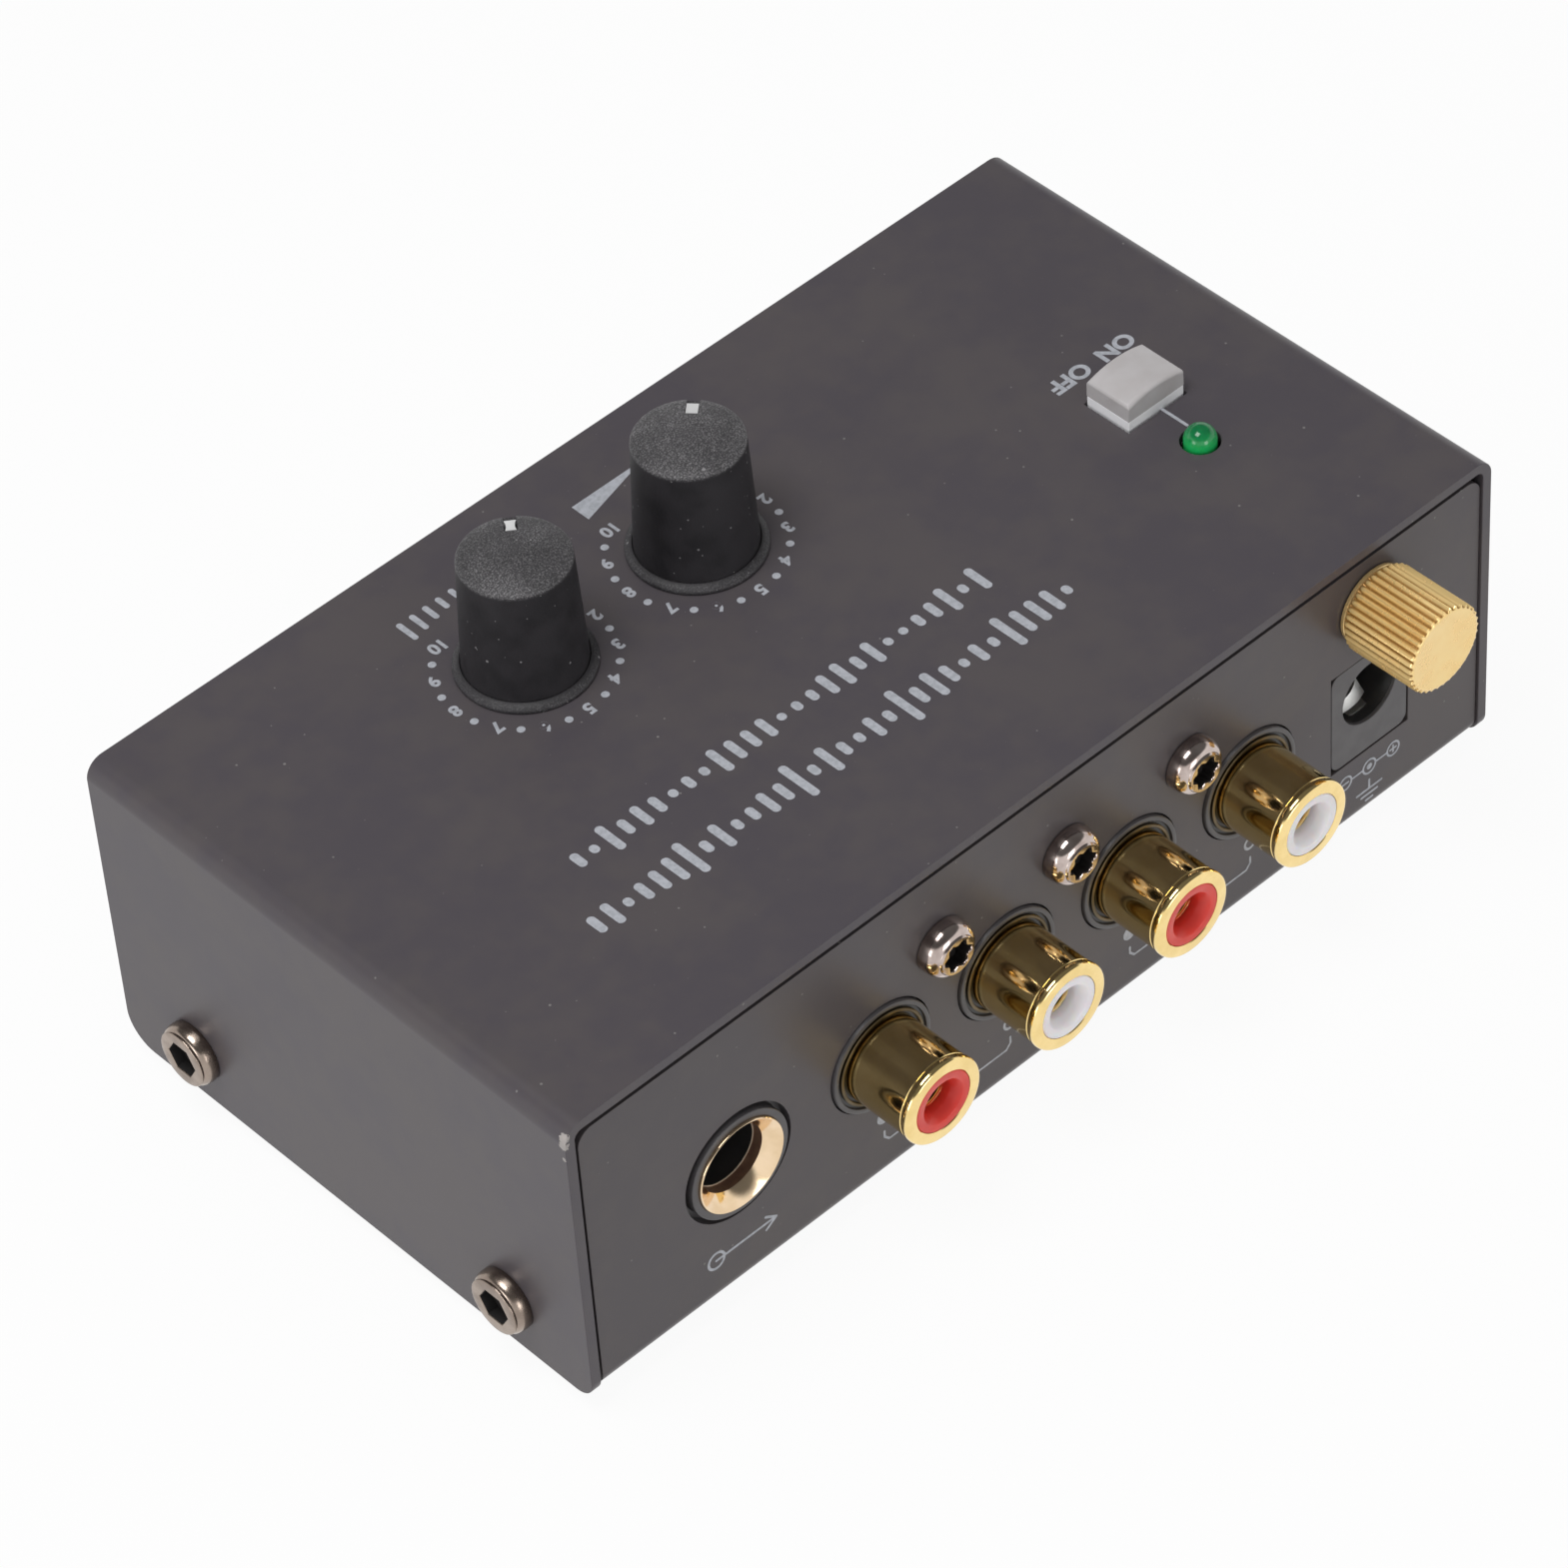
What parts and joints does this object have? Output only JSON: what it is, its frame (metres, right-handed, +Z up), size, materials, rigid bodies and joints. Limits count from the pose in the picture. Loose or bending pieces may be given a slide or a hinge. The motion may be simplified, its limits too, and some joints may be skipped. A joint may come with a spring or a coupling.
{
  "type": "phono preamp",
  "caption": "Small table-top phono preamp: bent-sheet case, numbered dial knobs, lit power button, phono and phone sockets, inlet and ground terminal.",
  "frame": {"origin": "middle of the bounding box's bottom, on the surface that the rubber feet stand on", "axes": "+X along the case's long side towards the output socket, +Y out of the rear connector panel, +Z up through the knobs"},
  "size_m": [0.1064, 0.065, 0.0459],
  "materials": {
    "case_paint": "fine matte powder coat, dark grey",
    "foot_rubber": "matt black",
    "nickel_screw": "warm nickel plate",
    "bright_screw": "bright nickel plate",
    "plated_steel": "zinc plate",
    "gold_plate": "polished gold plate",
    "gold_satin": "gold plate, knurled, satin end",
    "black_plastic": "moulded black",
    "red_plastic": "moulded red",
    "white_plastic": "moulded white",
    "grey_plastic": "moulded warm grey",
    "knob_rubber": "soft-touch black",
    "pointer_white": "printed white",
    "lamp_green": "translucent green",
    "board_green": "green board with solder mask",
    "track_carbon": "printed carbon",
    "pot_brown": "brown laminate",
    "tin_plate": "tinned",
    "copper_wire": "green insulation",
    "can_sleeve": "dark sleeve",
    "film_box": "dark red case",
    "resistor_coat": "blue lacquer",
    "spring_steel": "spring wire",
    "shaft_plastic": "moulded dark grey"
  },
  "bodies": {
    "case": {"top_cover": "case_paint", "bottom_tray": "case_paint", "rubber_feet": "foot_rubber", "cover_screws": "nickel_screw", "circuit_board": "board_green", "board_standoffs": "plated_steel", "board_screws": "plated_steel", "rca_housing": "black_plastic", "rca_barrels": "gold_plate", "rca_inserts_white": "white_plastic", "rca_inserts_red": "red_plastic", "rca_contacts": "gold_plate", "rca_screws": "bright_screw", "output_jack_body": "black_plastic", "output_jack_ferrule": "gold_plate", "output_jack_leaves": "spring_steel", "dc_jack_body": "black_plastic", "dc_jack_pin": "tin_plate", "dc_jack_contact": "tin_plate", "ground_stud": "plated_steel", "ground_tag": "tin_plate", "ground_wire": "copper_wire", "switch_housing": "black_plastic", "switch_spring": "spring_steel", "switch_terminals": "tin_plate", "lamp": "lamp_green", "lamp_leads": "tin_plate", "lamp_spacer": "white_plastic", "pot_terminals": "tin_plate", "electrolytic_capacitors": "can_sleeve", "reservoir_capacitors": "can_sleeve", "film_capacitors": "film_box", "amplifier_chips": "black_plastic", "chip_legs": "tin_plate", "resistors": "resistor_coat", "protection_diode": "black_plastic", "regulator_body": "black_plastic", "regulator_tab": "tin_plate", "regulator_legs": "tin_plate", "level_pot_base": "pot_brown", "level_pot_can": "plated_steel", "level_track": "track_carbon", "volume_pot_base": "pot_brown", "volume_pot_can": "plated_steel", "volume_track": "track_carbon"},
    "level_control": {"level_knob": "knob_rubber", "level_pointer": "pointer_white", "level_shaft": "shaft_plastic", "level_wiper": "spring_steel"},
    "volume_control": {"volume_knob": "knob_rubber", "volume_pointer": "pointer_white", "volume_shaft": "shaft_plastic", "volume_wiper": "spring_steel"},
    "power_control": {"button_cap": "grey_plastic", "button_stem": "white_plastic", "switch_plunger": "white_plastic"},
    "ground_travel": {"ground_washer": "gold_plate"},
    "ground_turn": {"ground_nut": "gold_satin"}
  },
  "joints": [
    {"name": "level_turn", "type": "hinge", "parent": "case", "child": "level_control", "pos_m": [0.0006, -0.01537, 0.0367], "axis": [0, 0, -1], "range_deg": [-19, 281]},
    {"name": "volume_turn", "type": "hinge", "parent": "case", "child": "volume_control", "pos_m": [0.0195, -0.01537, 0.0367], "axis": [0, 0, -1], "range_deg": [-7, 293]},
    {"name": "power_press", "type": "slide", "parent": "case", "child": "power_control", "axis": [0, 0, -1], "range_m": [0, 0.002], "stiffness_N_per_m": 600, "springref_m": -0.0005, "deforming": ["switch_spring"]},
    {"name": "ground_travel_slide", "type": "slide", "parent": "case", "child": "ground_travel", "axis": [0, 1, 0], "range_m": [0, 0.0021]},
    {"name": "ground_nut_turn", "type": "hinge", "parent": "ground_travel", "child": "ground_turn", "pos_m": [-0.0374, 0.02848, 0.0266], "axis": [0, 1, 0], "range_deg": [0, 1080]}
  ],
  "couplings": [
    {"joint": "ground_nut_turn", "follows": "ground_travel_slide", "rad_per_m": 8976}
  ]
}
